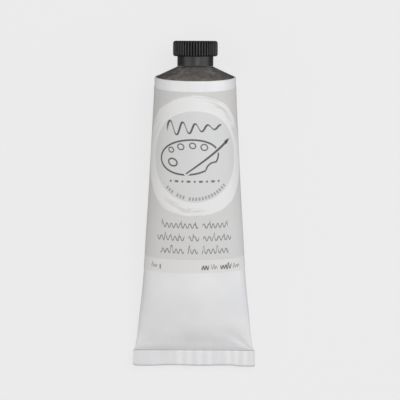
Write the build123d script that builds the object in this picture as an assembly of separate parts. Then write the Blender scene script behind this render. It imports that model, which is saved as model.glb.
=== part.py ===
from build123d import *
import math
import os

# Collapsible artists' paint tube, 37 ml, 1 in body, lying on its belly.
# Frame: +Z up, the cap points along +Y, the folded tail along -Y, +X across the tube.
# Origin: under the middle of the whole object, on the surface that it lies on.
# All sizes in millimetres.

os.makedirs("parts", exist_ok=True)

# ---------------------------------------------------------------- driving sizes
tube_r = 12.7            # outer radius of the round end: a 1 in tube
wall = 0.15              # aluminium wall with its enamel
label_t = 0.10           # paper label with its adhesive
belly_z = label_t        # underside of the aluminium belly
rim_y = 39.62            # centre of the shoulder's rim
tail_y = -50.42          # end of the folded tail

# the wall flattens from the rim to the tail:
# distance from the rim, half width, half thickness, lean of the section, and the
# belly's height over the surface, below 0 where the surface presses it flat
stations = [
    (0.35, 12.70, 12.70, 7.5, 0.04),
    (4.00, 12.72, 12.66, 7.6, -0.15),
    (7.65, 12.82, 12.54, 7.8, -0.28),
    (15.1, 13.18, 12.18, 8.1, -0.35),
    (22.6, 13.55, 11.76, 8.4, -0.36),
    (30.0, 13.93, 11.30, 8.8, -0.36),
    (37.5, 14.32, 10.76, 9.1, -0.36),
    (44.9, 14.76, 10.14, 9.5, -0.36),
    (52.4, 15.22, 9.42, 9.8, -0.34),
    (59.8, 15.68, 8.52, 10.0, -0.26),
    (67.3, 16.28, 7.30, 9.6, 0.06),
    (74.0, 16.98, 5.62, 8.2, 0.48),
    (79.0, 17.50, 3.86, 5.8, 1.00),
    (82.4, 18.08, 2.20, 3.2, 1.46),
    (84.6, 18.74, 0.80, 1.2, 1.95),
    (85.3, 18.93, 0.22, 0.5, 2.25),
]

# shoulder and nozzle
lip = 0.30               # bevel of the shoulder's rolled rim
shoulder_t = 0.65        # shoulder thickness
neck_z = 12.95           # height of the nozzle's axis, which lies level
neck_base_y = 42.20      # where the shoulder's cone meets the nozzle
neck_base_r = 5.00
nozzle_tip_y = 48.36
thread_pitch = 2.00
thread_turns = 2.0
thread_start_y = 43.30
nozzle_root_r = 3.70
nozzle_crest_r = 4.34
orifice_r = 2.50
ridge_base, ridge_crest = 1.00, 0.44   # axial widths of both threads' ridges

# cap
cap_skirt_y = 42.46      # open end of the skirt
cap_head_y = 45.76       # underside of the ribbed head
cap_top_y = 50.42
cap_skirt_r = 5.515
cap_head_r = 6.88
cap_seat_y = 49.20       # inside of the cap's top, where the liner sits
cap_root_r = 4.62        # bore of the cap, at the root of its thread
cap_crest_r = 3.96
ribs = 48
rib_depth = 0.26
groove_r = 0.33
edge_r = 0.55            # rounding of the head's two edges

# liner, fold and label
liner_t = 0.80
liner_r = 4.50
fold_w = 38.00           # width of the folded tail
ply = 0.15
seal_t = 0.08            # latex band between the two plies
fold_pitch = 0.42        # one turn of the fold to the next
fold_z = 2.57            # mid-plane of the flattened tail before it is folded
fold_back_y = -45.60     # where the folded strip turns in again
fold_tip_y = -49.30      # cut end of the strip, tucked inside the fold
label_s0, label_s1 = 3.55, 59.85   # label's ends, from the rim
seam_x, seam_w = 7.0, 0.30         # butt seam where the label's two edges meet
gap = 0.03               # paint to wall
skin = 0.015             # label to wall

# ---------------------------------------------------------------- wall sections


def pchip(xs, ys, x):
    # monotone cubic interpolation through the stations
    n = len(xs)
    h = [xs[i + 1] - xs[i] for i in range(n - 1)]
    d = [(ys[i + 1] - ys[i]) / h[i] for i in range(n - 1)]
    m = [0.0] * n
    for i in range(1, n - 1):
        if d[i - 1] * d[i] > 0:
            w1, w2 = 2 * h[i] + h[i - 1], h[i] + 2 * h[i - 1]
            m[i] = (w1 + w2) / (w1 / d[i - 1] + w2 / d[i])
    m[0], m[-1] = d[0], d[-1]
    x = min(max(x, xs[0]), xs[-1])
    i = max(k for k in range(n - 1) if xs[k] <= x)
    t = (x - xs[i]) / h[i]
    return ((2 * t**3 - 3 * t**2 + 1) * ys[i] + (t**3 - 2 * t**2 + t) * h[i] * m[i]
            + (-2 * t**3 + 3 * t**2) * ys[i + 1] + (t**3 - t**2) * h[i] * m[i + 1])


S, A, B, T, Z = (list(c) for c in zip(*stations))


def section_plane(s):
    # plane of one section, leaning back over the belly
    lean = math.radians(pchip(S, T, s))
    b = pchip(S, B, s)
    z = belly_z + pchip(S, Z, s) + b * math.cos(lean)
    normal = (0, -math.cos(lean), -math.sin(lean))
    return Plane(origin=(0, rim_y - s, z), x_dir=(1, 0, 0), z_dir=normal)


def section(s, inset):
    return section_plane(s) * Ellipse(pchip(S, A, s) - inset, pchip(S, B, s) - inset)


def sleeve(ss, inset, floor_z):
    # solid within the wall's surface, its belly pressed flat at floor_z
    body = loft([section(s, inset) for s in ss])
    return body & (Pos(0, 0, floor_z + 20) * Box(60, 140, 40))


rim_lean = math.radians(T[0])
rim_z = belly_z + Z[0] + B[0] * math.cos(rim_lean)


def rim_plane(s):
    # parallel to the rim, s below it along the tube's own axis
    c, w = math.cos(rim_lean), math.sin(rim_lean)
    return Plane(origin=(0, rim_y - s * c, rim_z - s * w), x_dir=(1, 0, 0), z_dir=(0, -c, -w))


def level_plane(y):
    return Plane(origin=(0, y, neck_z), x_dir=(1, 0, 0), z_dir=(0, -1, 0))


def on_axis(y, shape):
    # places a shape made around +Z on the nozzle's axis, its base at y
    return Pos(0, y, neck_z) * Rot(-90, 0, 0) * shape


def rod(y0, y1, r):
    return on_axis(y0, Cylinder(r, y1 - y0, align=(Align.CENTER, Align.CENTER, Align.MIN)))


def ridge(root_r, crest_r, embed_r):
    # one helical thread ridge; outside when crest_r is larger than root_r
    helix = Helix(pitch=thread_pitch, height=thread_pitch * thread_turns, radius=root_r)
    hc = ridge_crest / 2
    hb = hc + (ridge_base - ridge_crest) / 2 * (crest_r - embed_r) / (crest_r - root_r)
    with BuildSketch(Plane.XZ) as sk:
        Polygon((embed_r, -hb), (crest_r, -hc), (crest_r, hc), (embed_r, hb), align=None)
    return sweep(sk.sketch, path=helix, is_frenet=True)


def fold_strip(w, y0):
    # the flattened tail's outline in the YZ plane, w either side of its mid-line:
    # down, round the outer turn, back, round the inner turn, and down again to its tip
    z0, p = fold_z, fold_pitch
    c1 = tail_y + p + ply + seal_t / 2
    c2, e = fold_back_y, fold_tip_y
    r1, r2 = p, p / 2
    pts = lambda *q: [(0, a, b) for a, b in q]
    edges = [
        Line(*pts((y0, z0 - w), (c1, z0 - w))),
        ThreePointArc(*pts((c1, z0 - w), (c1 - r1 - w, z0 + p), (c1, z0 + 2 * p + w))),
        Line(*pts((c1, z0 + 2 * p + w), (c2, z0 + 2 * p + w))),
        ThreePointArc(*pts((c2, z0 + 2 * p + w), (c2 + r2 + w, z0 + 1.5 * p), (c2, z0 + p - w))),
        Line(*pts((c2, z0 + p - w), (e, z0 + p - w))),
        Line(*pts((e, z0 + p - w), (e, z0 + p + w))),
        Line(*pts((e, z0 + p + w), (c2, z0 + p + w))),
        ThreePointArc(*pts((c2, z0 + p + w), (c2 + r2 - w, z0 + 1.5 * p), (c2, z0 + 2 * p - w))),
        Line(*pts((c2, z0 + 2 * p - w), (c1, z0 + 2 * p - w))),
        ThreePointArc(*pts((c1, z0 + 2 * p - w), (c1 - r1 + w, z0 + p), (c1, z0 + w))),
        Line(*pts((c1, z0 + w), (y0, z0 + w))),
        Line(*pts((y0, z0 + w), (y0, z0 - w))),
    ]
    return Face(Wire(edges))


def across(face, width):
    return Pos(-width / 2, 0, 0) * extrude(face, amount=width, dir=(1, 0, 0))


# ---------------------------------------------------------------- tube shell

cavity_s = [0.90] + S[1:-2] + [84.00, 84.70]


def cavity(inset, nozzle_end_y, inset_r):
    # everything inside the wall, up to the nozzle's mouth
    body = sleeve(cavity_s, wall + inset, belly_z + wall + inset)
    cone = loft([level_plane(neck_base_y - shoulder_t - 0.05 - inset) * Circle(3.2),
                 section(cavity_s[0], wall + inset)], ruled=True)
    bore = rod(neck_base_y - 2.0, nozzle_end_y, orifice_r - inset_r)
    core = rod(neck_base_y - 6.0, neck_base_y - 1.5, orifice_r - inset_r)
    return body + cone + bore + core


outer = sleeve(S, 0, belly_z)
lip_ring = loft([rim_plane(0) * Circle(tube_r - lip), section(S[0], 0)], ruled=True)
cone = loft([level_plane(neck_base_y) * Circle(neck_base_r), rim_plane(0) * Circle(tube_r - lip)],
            ruled=True)
nozzle = rod(neck_base_y - 0.8, nozzle_tip_y, nozzle_root_r)
neck_ridge = on_axis(thread_start_y, ridge(nozzle_root_r, nozzle_crest_r, nozzle_root_r - 0.15))
strip_w = ply + seal_t / 2
fold = across(fold_strip(strip_w, rim_y - 84.9), fold_w)

tube_shell = outer + lip_ring + cone + nozzle + neck_ridge + fold
tube_shell = tube_shell - cavity(0, nozzle_tip_y + 1, 0)
tube_shell = tube_shell - across(fold_strip(seal_t / 2 + 0.01, rim_y - 85.1), fold_w - 0.5)
tube_shell.label = "tube_shell"

# ---------------------------------------------------------------- what it holds

paint_fill = cavity(gap, nozzle_tip_y - 0.6, gap)
fold_sealant = across(fold_strip(seal_t / 2, rim_y - 85.12), fold_w - 0.54)

# ---------------------------------------------------------------- paper label

label = sleeve(S, -label_t, 0) - sleeve(S, -skin, belly_z - skin)
label = label.split(section_plane(label_s0), keep=Keep.TOP)
label = label.split(section_plane(label_s1), keep=Keep.BOTTOM)
label = label - Pos(seam_x, 0, 2) * Box(seam_w, 120, 8)

# ---------------------------------------------------------------- cap and liner

head_h = cap_top_y - cap_head_y
disc = Cylinder(cap_head_r, head_h, align=(Align.CENTER, Align.CENTER, Align.MIN))
disc = fillet(disc.edges().filter_by(GeomType.CIRCLE), edge_r)
with BuildSketch() as grip:
    Circle(cap_head_r + 0.5)
    with PolarLocations(cap_head_r + groove_r - rib_depth, ribs):
        Circle(groove_r, mode=Mode.SUBTRACT)
head = on_axis(cap_head_y, disc & extrude(grip.sketch, amount=head_h))
skirt = rod(cap_skirt_y, cap_head_y + 0.5, cap_skirt_r)
skirt = chamfer(skirt.edges().filter_by(GeomType.CIRCLE).sort_by(Axis.Y)[0], 0.22)
cap = head + skirt - rod(cap_skirt_y - 1, cap_seat_y, cap_root_r)
lead_in = Cone(cap_root_r + 0.42, cap_root_r, 0.42, align=(Align.CENTER, Align.CENTER, Align.MIN))
cap = cap - on_axis(cap_skirt_y, lead_in)
cap_ridge = Rot(0, 0, 180) * ridge(cap_root_r, cap_crest_r, cap_root_r + 0.15)
cap = cap + on_axis(thread_start_y, cap_ridge)

cap_liner = rod(nozzle_tip_y + 0.02, nozzle_tip_y + 0.02 + liner_t, liner_r)

# ---------------------------------------------------------------- written parts

nodes = {
    "tube_shell": tube_shell,
    "label": label,
    "fold_sealant": fold_sealant,
    "paint_fill": paint_fill,
    "cap": cap,
    "cap_liner": cap_liner,
}
for name, shape in nodes.items():
    solids = shape.solids()
    if len(solids) == 1:
        shape = solids[0]
    print(name, len(solids), round(sum(s.volume for s in solids), 2))
    export_step(shape, f"parts/{name}.step")
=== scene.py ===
import bpy
import bmesh
import math
import numpy as np
from mathutils import Matrix, Vector


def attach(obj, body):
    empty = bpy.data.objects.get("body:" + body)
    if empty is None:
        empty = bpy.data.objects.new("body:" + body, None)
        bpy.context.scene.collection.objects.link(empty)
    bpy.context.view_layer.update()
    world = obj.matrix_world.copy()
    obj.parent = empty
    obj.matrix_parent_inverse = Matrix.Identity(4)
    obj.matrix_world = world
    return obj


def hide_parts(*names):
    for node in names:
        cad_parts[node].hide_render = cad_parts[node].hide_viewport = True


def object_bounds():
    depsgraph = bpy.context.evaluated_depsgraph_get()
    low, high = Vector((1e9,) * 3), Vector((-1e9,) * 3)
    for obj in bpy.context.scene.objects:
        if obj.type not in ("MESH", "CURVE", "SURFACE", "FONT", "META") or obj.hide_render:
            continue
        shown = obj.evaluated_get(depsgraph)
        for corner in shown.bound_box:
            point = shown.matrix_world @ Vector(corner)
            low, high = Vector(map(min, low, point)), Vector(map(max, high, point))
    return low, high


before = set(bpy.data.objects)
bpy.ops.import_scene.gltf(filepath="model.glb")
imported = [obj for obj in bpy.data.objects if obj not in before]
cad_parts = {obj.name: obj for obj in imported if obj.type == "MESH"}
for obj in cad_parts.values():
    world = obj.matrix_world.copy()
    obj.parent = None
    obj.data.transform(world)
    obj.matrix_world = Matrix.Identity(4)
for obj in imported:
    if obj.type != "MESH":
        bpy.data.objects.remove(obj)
cad_lo, cad_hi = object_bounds()
MM = 0.001
rng = np.random.default_rng(37)

# ============================================================ the tube's own geometry, in mm
# the same sections, nozzle and fold as the CAD part: +Z up, cap along +Y, tail along -Y
TUBE_R, WALL, LABEL_T = 12.6, 0.15, 0.10
BELLY_Z, DATUM_Y, RIM_S, TAIL_Y = 0.10, 39.62, 0.49, -50.98
CENTRE_Y = 0.0                   # added to every y, so that the origin is under the middle
STATIONS = np.array([
    (0.84, 12.60, 12.60, 5.9, 0.04),
    (4.00, 12.66, 12.60, 7.0, -0.15),
    (7.65, 12.79, 12.52, 7.7, -0.28),
    (15.1, 13.14, 12.18, 8.1, -0.35),
    (22.6, 13.55, 11.76, 8.4, -0.36),
    (30.0, 13.93, 11.30, 8.8, -0.36),
    (37.5, 14.32, 10.76, 9.1, -0.36),
    (44.9, 14.76, 10.14, 9.5, -0.36),
    (52.4, 15.22, 9.42, 9.8, -0.34),
    (59.8, 15.68, 8.52, 10.0, -0.26),
    (67.3, 16.28, 7.30, 9.6, 0.06),
    (74.0, 16.98, 5.62, 8.2, 0.48),
    (79.3, 17.46, 3.86, 5.8, 1.00),
    (82.9, 17.93, 2.20, 3.2, 1.46),
    (85.2, 18.46, 0.80, 1.2, 1.95),
    (85.9, 18.88, 0.22, 0.5, 2.25),
])
NECK_Z, NECK_BASE_Y, NECK_BASE_R, TIP_Y = 12.95, 42.34, 5.50, 48.36
PITCH, THREAD_Y, TURNS = 2.0, 43.30, 2.0
ROOT_R, CREST_R, ORIFICE_R = 3.70, 4.34, 2.50
CAP_SKIRT_Y, CAP_HEAD_Y, CAP_TOP_Y, CAP_SEAT_Y = 42.46, 45.51, 50.33, 49.20
CAP_SKIRT_R, CAP_HEAD_R, CAP_ROOT_R, CAP_CREST_R = 5.58, 6.95, 4.62, 3.96
RIBS, RIB_DEPTH, CAP_EDGE = 48, 0.26, 0.55
LINER_R, LINER_Y0, LINER_Y1 = 4.50, 48.38, 49.18
FOLD_Z, FOLD_P, FOLD_BACK, FOLD_TIP = 2.57, 0.42, -46.60, -49.90
STRIP_W = WALL + 0.04
LABEL_S0, LABEL_S1 = 3.55, 59.85
SEAM_X = 7.0


def pchip(xs, ys, x):
    xs, ys = np.asarray(xs, float), np.asarray(ys, float)
    h = np.diff(xs)
    d = np.diff(ys) / h
    m = np.zeros(len(xs))
    for i in range(1, len(xs) - 1):
        if d[i - 1] * d[i] > 0:
            w1, w2 = 2 * h[i] + h[i - 1], h[i] + 2 * h[i - 1]
            m[i] = (w1 + w2) / (w1 / d[i - 1] + w2 / d[i])
    m[0], m[-1] = d[0], d[-1]
    x = np.clip(x, xs[0], xs[-1])
    i = np.clip(np.searchsorted(xs, x, side="right") - 1, 0, len(xs) - 2)
    t = (x - xs[i]) / h[i]
    return ((2 * t**3 - 3 * t**2 + 1) * ys[i] + (t**3 - 2 * t**2 + t) * h[i] * m[i]
            + (-2 * t**3 + 3 * t**2) * ys[i + 1] + (t**3 - t**2) * h[i] * m[i + 1])


def stat(k, s):
    return float(pchip(STATIONS[:, 0], STATIONS[:, k], s))


def smooth(a, b, x):
    t = np.clip((x - a) / (b - a), 0, 1)
    return t * t * (3 - 2 * t)


def smax(z, floor, k=0.03):
    d = np.clip((z - floor) / k, -40, 40)
    return np.where(d > 30, z, floor + k * np.log1p(np.exp(d)))


# soft dents of a hand-filled foil wall: a few broad waves, fixed for good by the seed
WAVES = [(rng.uniform(0.05, 0.22), rng.uniform(-0.20, 0.20), rng.uniform(0, 6.28), rng.uniform(0.4, 1.0)) for _ in range(14)]
FINE = [(rng.uniform(0.25, 0.6), rng.uniform(-0.5, 0.5), rng.uniform(0, 6.28), rng.uniform(0.3, 1.0)) for _ in range(16)]


def dents(x, s, top):
    """Outward offset of the wall in mm, from x across, s along, and top (1 over, -1 under)."""
    g = np.zeros_like(x)
    for ks, kx, ph, am in WAVES:
        g += am * np.sin(ks * s + kx * x + ph + top * 0.9)
    f = np.zeros_like(x)
    for ks, kx, ph, am in FINE:
        f += am * np.sin(ks * s + kx * x + ph + top * 1.7)
    slack = smooth(20, 74, s)                     # the round end is stiff, the tail is soft
    out = (0.014 + 0.020 * slack) * g / 3.0 + (0.003 + 0.006 * slack) * f / 3.0
    out *= smooth(0.6, 6.0, s)
    # buckles that run into the two corners of the fold
    up = np.clip(top, 0, 1)
    for cx, depth, reach in ((1, 0.62, 7.2), (-1, 0.16, 5.0)):
        u = (85.5 - s) / reach                    # 0 at the fold, 1 where the buckle dies out
        line = cx * (17.6 - 7.5 * np.clip(u, 0, 1.2))
        width = 0.7 + 2.6 * np.clip(u, 0, 1)
        out -= depth * up * np.exp(-((x - line) / width) ** 2) * smooth(1.15, 0.2, u) * smooth(-0.05, 0.10, u)
    # short flutes that die out just above the fold
    out += 0.05 * up * flutes(x) * smooth(80.8, 85.2, s)
    return out


FLUTES = np.array([(-12.6, .2, 1.9), (-7.4, .3, 1.0), (-4.8, 1.0, .95), (-1.7, .95, .95), (1.4, 1.0, .95), (4.5, .9, 1.0), (7.4, .25, 1.2),
                   (10.5, .75, 1.0), (13.0, .85, .8), (15.8, .8, .9), (17.6, .35, .5)])


def flutes(x):
    g = np.zeros_like(x)
    for c, am, w in FLUTES:
        g += am * np.exp(-((x - c) / w) ** 2)
    return g - 0.42


def tail_shape(p):
    """Bends the folded tail as the crimping jaws and handling left it. p is (N, 3) in mm and every ply moves alike."""
    x, y, z = p[:, 0], p[:, 1].copy(), p[:, 2].copy()
    on = smooth(-44.9, -47.0, y)
    depth = np.clip((-45.8 - y) / 5.2, 0, 1)
    z += on * 0.17 * flutes(x) * (0.60 + 0.65 * depth)
    z += smooth(-40.0, -50.0, y) * (0.20 * (x / 19.0) ** 2 + 0.10 * np.sin(0.21 * x + 0.6))
    y -= 0.30 * depth * smooth(11.0, 14.5, x) + 0.12 * depth * smooth(-7.0, -12.0, x)
    y -= 0.07 * depth * np.sin(0.33 * x + 1.0)
    y += depth * 0.50 * np.clip((-x - 18.15) / 0.9, 0, 1) ** 2
    y += depth * 0.22 * np.clip((x - 18.5) / 0.6, 0, 1) ** 2
    return np.stack([x, y, z], 1)


def unit_section(t, flat):
    """x and n shares of a section; flat 0 is an ellipse, 1 a flattened tube with round ends."""
    c, s = np.cos(t), np.sin(t)
    e = 1.0 - 0.74 * flat
    return c, np.sign(s) * np.abs(s) ** e


def wall_ring(s, t, off, dent=True):
    """One ring of the wall, off mm outside the metal's outer face."""
    a, b, lean, rise = (stat(k, s) for k in (1, 2, 3, 4))
    tau = math.radians(lean)
    ux, un = unit_section(t, float(smooth(79.6, 85.9, s)) * 0.9)
    x, n = (a + off) * ux, (b + off) * un
    if dent:
        nx, nn = np.cos(t) / (a + off), np.sin(t) / (b + off)
        ln = np.hypot(nx, nn)
        d = dents(x, np.full_like(x, s), np.sin(t)) * min(1.0, b / 1.2)
        x, n = x + d * nx / ln, n + d * nn / ln
    cz = BELLY_Z + rise + b * math.cos(tau)
    y = DATUM_Y - s - n * math.sin(tau)
    z = cz + n * math.cos(tau)
    z = smax(z, BELLY_Z - off)
    return tail_shape(np.stack([x, y, z], 1))


RIM_LEAN = math.radians(STATIONS[0, 3])
RIM_Z = BELLY_Z + STATIONS[0, 4] + STATIONS[0, 2] * math.cos(RIM_LEAN)


def rim_ring(s, r, t):
    """A circle parallel to the shoulder's rim, s mm below it along the tube's own axis."""
    d = STATIONS[0, 0] - RIM_S - s
    cy, cz = DATUM_Y - STATIONS[0, 0] + d * math.cos(RIM_LEAN), RIM_Z + d * math.sin(RIM_LEAN)
    x, n = r * np.cos(t), r * np.sin(t)
    return np.stack([x, cy - n * math.sin(RIM_LEAN), cz + n * math.cos(RIM_LEAN)], 1)


def level_ring(y, r, t):
    r = np.broadcast_to(r, t.shape)
    return np.stack([r * np.cos(t), np.broadcast_to(y, t.shape), NECK_Z + r * np.sin(t)], 1)


def ridge_height(y, t, start_y, start_turn, turns, base, crest, depth):
    """Height of a right-hand helical ridge at (y, t); t is the angle about +Y from +X towards -Z."""
    phi = np.mod(-t, 2 * math.pi)                 # the ring angle t turns from +X to +Z, the other way
    best = np.zeros_like(t)
    for k in range(-1, int(turns) + 2):
        ph = phi - start_turn * 2 * math.pi + 2 * math.pi * k
        along = start_y + PITCH * ph / (2 * math.pi)
        d = np.abs(y - along)
        h = np.clip(((base / 2) - d) / ((base - crest) / 2), 0, 1) * depth
        run = ph / (2 * math.pi)
        fade = smooth(0.0, 0.07, run) * smooth(turns, turns - 0.07, run)
        best = np.maximum(best, h * fade)
    return best


# ============================================================ mesh building

def add_mesh(name, verts, faces, uvs=None, mats=None, mat_index=None, sharp=32, body="tube"):
    """verts in mm. uvs is {layer: per-vertex (N, 2)}."""
    me = bpy.data.meshes.new(name)
    me.from_pydata(((np.asarray(verts) + (0.0, CENTRE_Y, 0.0)) * MM).tolist(), [], faces)
    me.validate(verbose=False)
    if uvs:
        loops = np.zeros(len(me.loops), np.int32)
        me.loops.foreach_get("vertex_index", loops)
        for layer, uv in uvs.items():
            lay = me.uv_layers.new(name=layer)
            lay.data.foreach_set("uv", np.asarray(uv, np.float32)[loops].ravel())
    ob = bpy.data.objects.new(name, me)
    bpy.context.scene.collection.objects.link(ob)
    for m in mats or []:
        me.materials.append(m)
    if mat_index is not None:
        me.polygons.foreach_set("material_index", np.asarray(mat_index, np.int32))
    me.polygons.foreach_set("use_smooth", np.ones(len(me.polygons), bool))
    me.set_sharp_from_angle(angle=math.radians(sharp))
    me.update()
    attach(ob, body)
    return ob


def grid_faces(m, n, base=0, flip=False):
    """Quads between m rings of n points, closed round."""
    faces = []
    for i in range(m - 1):
        for j in range(n):
            k = (j + 1) % n
            q = (base + i * n + j, base + i * n + k, base + (i + 1) * n + k, base + (i + 1) * n + j)
            faces.append(q[::-1] if flip else q)
    return faces


def thin_cap(n, base, flip=False):
    """Closes a flat ring whose points j and -j face each other."""
    faces = []
    for j in range(n // 2):
        a, b = j, j + 1
        c, d = (n - b) % n, (n - a) % n
        q = [base + v for v in dict.fromkeys((a, b, c, d))]
        if len(q) > 2:
            faces.append(tuple(q[::-1] if flip else q))
    return faces


def fan_cap(n, base, centre, flip=False):
    out = []
    for j in range(n):
        tri = (base + j, base + (j + 1) % n, centre)
        out.append(tri[::-1] if flip else tri)
    return out


def outward(ob, inside=False):
    bm = bmesh.new()
    bm.from_mesh(ob.data)
    bmesh.ops.recalc_face_normals(bm, faces=bm.faces)
    if inside:
        bmesh.ops.reverse_faces(bm, faces=bm.faces)
    bm.to_mesh(ob.data)
    bm.free()
    ob.data.update()


def fold_path(start_y, tip=FOLD_TIP, step=0.35):
    """Mid-line of the flattened tail and its normal: down, round, back, round, down to the tip."""
    c1 = TAIL_Y + FOLD_P + STRIP_W
    pts = []
    y = start_y
    while y > c1 + step * 0.5:
        pts.append((y, FOLD_Z, 0.0))
        y -= step
    for k in range(0, 13):
        a = math.pi * k / 12
        pts.append((c1 - FOLD_P * math.sin(a), FOLD_Z + FOLD_P - FOLD_P * math.cos(a), a))
    y = c1 + step
    while y < FOLD_BACK - step * 0.5:
        pts.append((y, FOLD_Z + 2 * FOLD_P, math.pi))
        y += step
    r2 = FOLD_P / 2
    for k in range(0, 11):
        a = math.pi * k / 10
        pts.append((FOLD_BACK + r2 * math.sin(a), FOLD_Z + 1.5 * FOLD_P + r2 * math.cos(a), math.pi + a))
    y = FOLD_BACK - step
    while y > tip + step * 0.5:
        pts.append((y, FOLD_Z + FOLD_P, 2 * math.pi))
        y -= step
    pts.append((tip, FOLD_Z + FOLD_P, 2 * math.pi))
    return pts


def fold_ring(y, z, a, t, half_w, w):
    """One ring of the flattened strip at a point of its path; a is how far the strip has turned."""
    ux, un = unit_section(t, 0.9)
    x = half_w * ux
    n = w * un
    # the strip's normal starts up and turns with the strip
    ny, nz = math.sin(a), math.cos(a)
    return tail_shape(np.stack([x, y + n * ny, z + n * nz], 1))


def arc_table(s):
    a, b = stat(1, s), stat(2, s)
    tt = np.linspace(-math.pi, 2.5 * math.pi, 2521)
    ds = np.hypot(a * np.sin(tt), b * np.cos(tt))
    return tt, np.concatenate([[0], np.cumsum((ds[1:] + ds[:-1]) / 2 * np.diff(tt))])


def flat_u(t, s):
    """Arc length round the wall from the middle of its top, in mm, + towards +X, and - past -X all the way under."""
    tt, arc = arc_table(s)
    return np.interp(math.pi / 2, tt, arc) - np.interp(t, tt, arc)


# ============================================================ tube shell: one closed wall, inside and out
N = 240
T = np.arange(N) * 2 * math.pi / N
rings, ring_s, ring_bare, ring_wear, ring_hint = [], [], [], [], []


def put(ring, s, bare=0, wear=0.0, hint=None):
    rings.append(ring)
    ring_s.append(s)
    ring_bare.append(bare)
    ring_wear.append(wear)


def blend_rings(a, b, f):
    return a * (1 - f) + b * f


# inside, from the tail end of the room for paint to the nozzle
inner_s = list(np.linspace(85.30, 80, 12)) + list(np.linspace(79, 60, 20)) + list(np.linspace(58, 2.4, 34)) + [1.40]
for s in inner_s:
    put(wall_ring(s, T, -WALL), s, bare=1)
room_top = rings[-1]
bore_foot = level_ring(NECK_BASE_Y - 0.70, 3.2, T)
for f in (0.25, 0.5, 0.75, 1.0):
    put(blend_rings(room_top, bore_foot, f), 0.0, bare=1)
for y, r in ((NECK_BASE_Y - 0.35, 2.75), (NECK_BASE_Y, ORIFICE_R), (44.0, ORIFICE_R), (46.0, ORIFICE_R),
             (47.9, ORIFICE_R), (48.22, ORIFICE_R + 0.02), (48.33, ORIFICE_R + 0.10), (TIP_Y, ORIFICE_R + 0.24)):
    put(level_ring(y, r, T), -y, bare=1)
# outside, down the nozzle and its thread
put(level_ring(TIP_Y, 3.28, T), -TIP_Y, bare=1)
put(level_ring(48.33, 3.40, T), -48.3, bare=1)
put(level_ring(48.24, 3.50, T), -48.2, bare=1)
put(level_ring(48.06, 3.64, T), -48.0, bare=1)
for y in np.arange(47.95, NECK_BASE_Y + 0.36, -0.095):
    r = ROOT_R + ridge_height(y, T, THREAD_Y, 0.0, TURNS, 1.0, 0.44, CREST_R - ROOT_R)
    put(level_ring(y, r, T), -y, bare=1)
for k in range(1, 6):
    a = math.pi / 2 * k / 5
    put(level_ring(NECK_BASE_Y + 0.01 + 0.30 * (1 - math.sin(a)), ROOT_R + 0.30 * (1 - math.cos(a)), T), -42.3, bare=1)
put(level_ring(NECK_BASE_Y + 0.01, 4.60, T), -42.2, bare=1)
put(level_ring(NECK_BASE_Y + 0.06, 5.05, T), -42.2, bare=1)
put(level_ring(NECK_BASE_Y + 0.065, NECK_BASE_R - 0.05, T), -42.2, bare=1)
neck_foot = level_ring(NECK_BASE_Y + 0.02, NECK_BASE_R + 0.06, T)
put(neck_foot, -42.1, bare=1)
# shoulder cone, with the faint steps the turning tool left, down to the rolled rim
rim_in = rim_ring(-0.02, TUBE_R - 0.47, T)
for f in np.linspace(0.035, 0.985, 34):
    r = blend_rings(neck_foot, rim_in, f)
    step = 0.016 * math.sin(f * 41.0) * math.sin(math.pi * f)
    r[:, 1] += step
    put(r, -42.1 * (1 - f), bare=1)
put(rim_ring(-0.010, TUBE_R - 0.46, T), 0.50, bare=1)
put(rim_ring(-0.030, TUBE_R - 0.36, T), 0.52, wear=0.6)
put(rim_ring(-0.010, TUBE_R - 0.22, T), 0.55, wear=0.9)
put(rim_ring(0.06, TUBE_R - 0.085, T), 0.60, wear=0.7)
put(rim_ring(0.18, TUBE_R - 0.012, T), 0.70, wear=0.3)
# outer wall
outer_s = ([0.84, 1.2, 1.8, 2.5, 3.3] + list(np.arange(4.4, 59.9, 1.3)) + list(np.arange(60.2, 79.0, 0.55))
           + list(np.arange(79.0, 84.8, 0.30)) + list(np.arange(84.8, 85.75, 0.1)) + [85.78, 85.84, 85.9])
for s in outer_s:
    r = wall_ring(s, T, 0.0)
    if s < 85.8:                 # the wall's top runs out against the folded band, and dives under it
        r[:, 2] += 0.42 * smooth(82.5, 85.7, s) * np.sqrt(np.clip(np.sin(T), 0, 1))
    if s < 2.0:
        f = (s - 0.63) / 1.5
        r = blend_rings(rim_ring(s - RIM_S, TUBE_R, T), r, smooth(0, 1, f) if s > 0.84 else 0.2)
        r[:, 2] = smax(r[:, 2], BELLY_Z)
    put(r, s)
# fold
path = fold_path(DATUM_Y - 86.15)
run = 85.9
last = None
for y, z, a in path:
    if last is not None:
        run += math.hypot(y - last[0], z - last[1])
    last = (y, z)
    edge = math.exp(-((y - (TAIL_Y + 0.1)) / 0.35) ** 2) + 0.7 * math.exp(-((y - FOLD_BACK) / 0.25) ** 2) * (a > 2)
    grow = smooth(85.9, 87.6, run)
    put(fold_ring(y, z, a, T, 18.88 + 0.12 * grow, 0.22 + (STRIP_W - 0.22) * grow), run, wear=min(1.0, edge))
n_main = len(rings)
for f in (0.6, 0.25):        # the crimped tip is rounded over
    y, z, a = path[-1]
    put(fold_ring(y - 0.05 * (1 - f), z, a, T, 19.0 - 0.06 * (1 - f), STRIP_W * f), run + 0.05, wear=1.0)
verts = np.concatenate(rings)
m = len(rings)
faces = grid_faces(m, N)
index = [min(ring_bare[i // N], ring_bare[i // N + 1]) for i in range((m - 1) * N)]
front = thin_cap(N, 0, flip=True)
back = thin_cap(N, (m - 1) * N)
faces += front + back
index += [1] * len(front) + [0] * len(back)
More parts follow.
